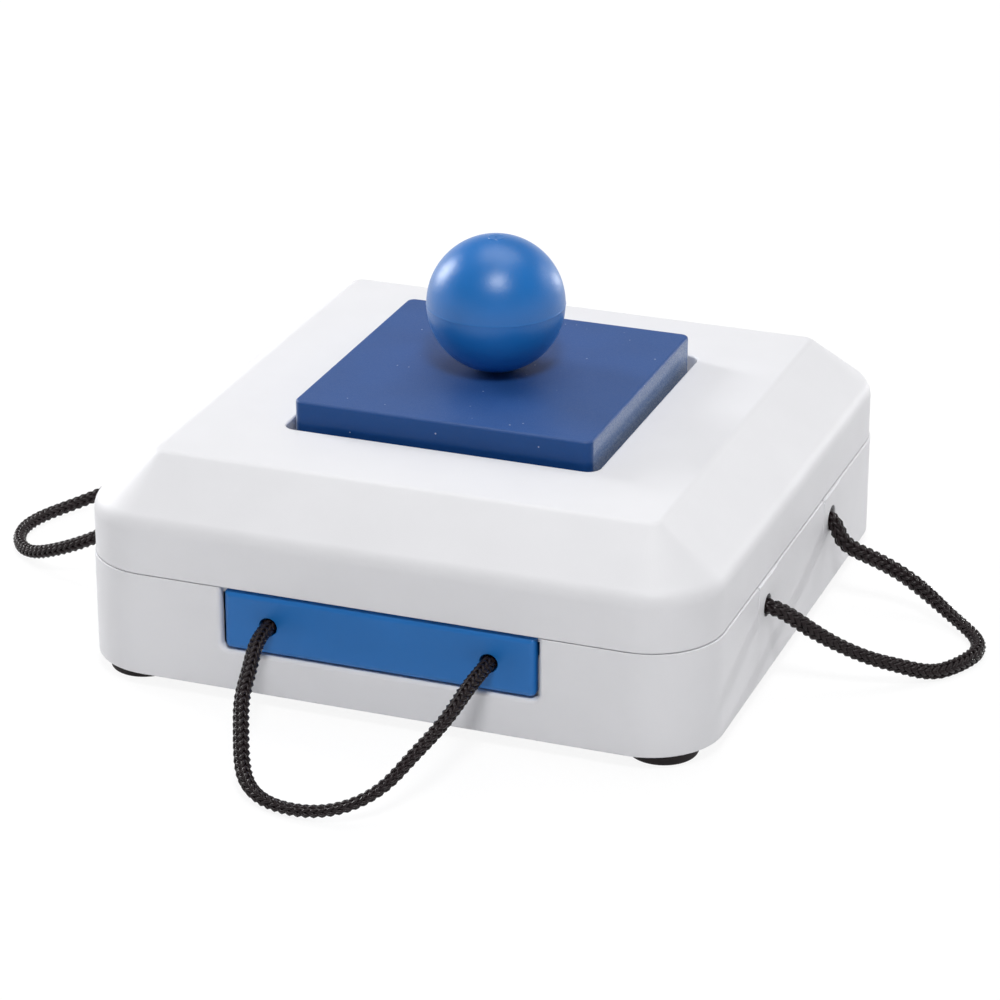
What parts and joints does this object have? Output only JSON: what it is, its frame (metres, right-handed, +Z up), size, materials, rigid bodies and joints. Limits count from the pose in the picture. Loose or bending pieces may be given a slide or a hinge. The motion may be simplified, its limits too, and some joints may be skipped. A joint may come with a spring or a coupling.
{
  "type": "dog puzzle feeder",
  "caption": "Square treat puzzle box with a bevelled top, a lift-off lid with a ball knob over a treat well, a pull-out drawer, and braided pull-cord loops on the drawer and both sides.",
  "frame": {"origin": "on the floor under the middle of the square box", "axes": "+Z up, -Y the drawer's front, +X to the right when facing the drawer"},
  "size_m": [0.3548, 0.2886, 0.1336],
  "materials": {
    "white_shell": "satin moulded white plastic with a fine texture",
    "navy_lid": "satin moulded navy plastic with a fine texture",
    "blue_knob": "semi-gloss moulded blue plastic",
    "blue_drawer": "satin moulded blue plastic",
    "black_cord": "black plain braided cord",
    "black_foot": "matt black rubber",
    "zinc_screw": "zinc-plated steel"
  },
  "bodies": {
    "base": {"base_shell": "white_shell", "top_cover": "white_shell", "case_screws": "zinc_screw", "foot_front_left": "black_foot", "foot_front_right": "black_foot", "foot_rear_left": "black_foot", "foot_rear_right": "black_foot", "right_cord": "black_cord", "right_knot_front": "black_cord", "right_knot_rear": "black_cord", "left_cord": "black_cord", "left_knot_front": "black_cord", "left_knot_rear": "black_cord"},
    "drawer": {"drawer": "blue_drawer", "front_cord": "black_cord", "front_knot_left": "black_cord", "front_knot_right": "black_cord"},
    "lid": {"lid_plate": "navy_lid", "ball_lower_half": "blue_knob", "ball_upper_half": "blue_knob", "knob_screw": "zinc_screw", "knob_washer": "zinc_screw"}
  },
  "joints": [
    {"name": "drawer_slide", "type": "slide", "parent": "base", "child": "drawer", "axis": [0, -1, 0], "range_m": [0, 0.09]},
    {"name": "lid_lift", "type": "slide", "parent": "base", "child": "lid", "axis": [0, 0, 1], "range_m": [0, 0.08]}
  ]
}
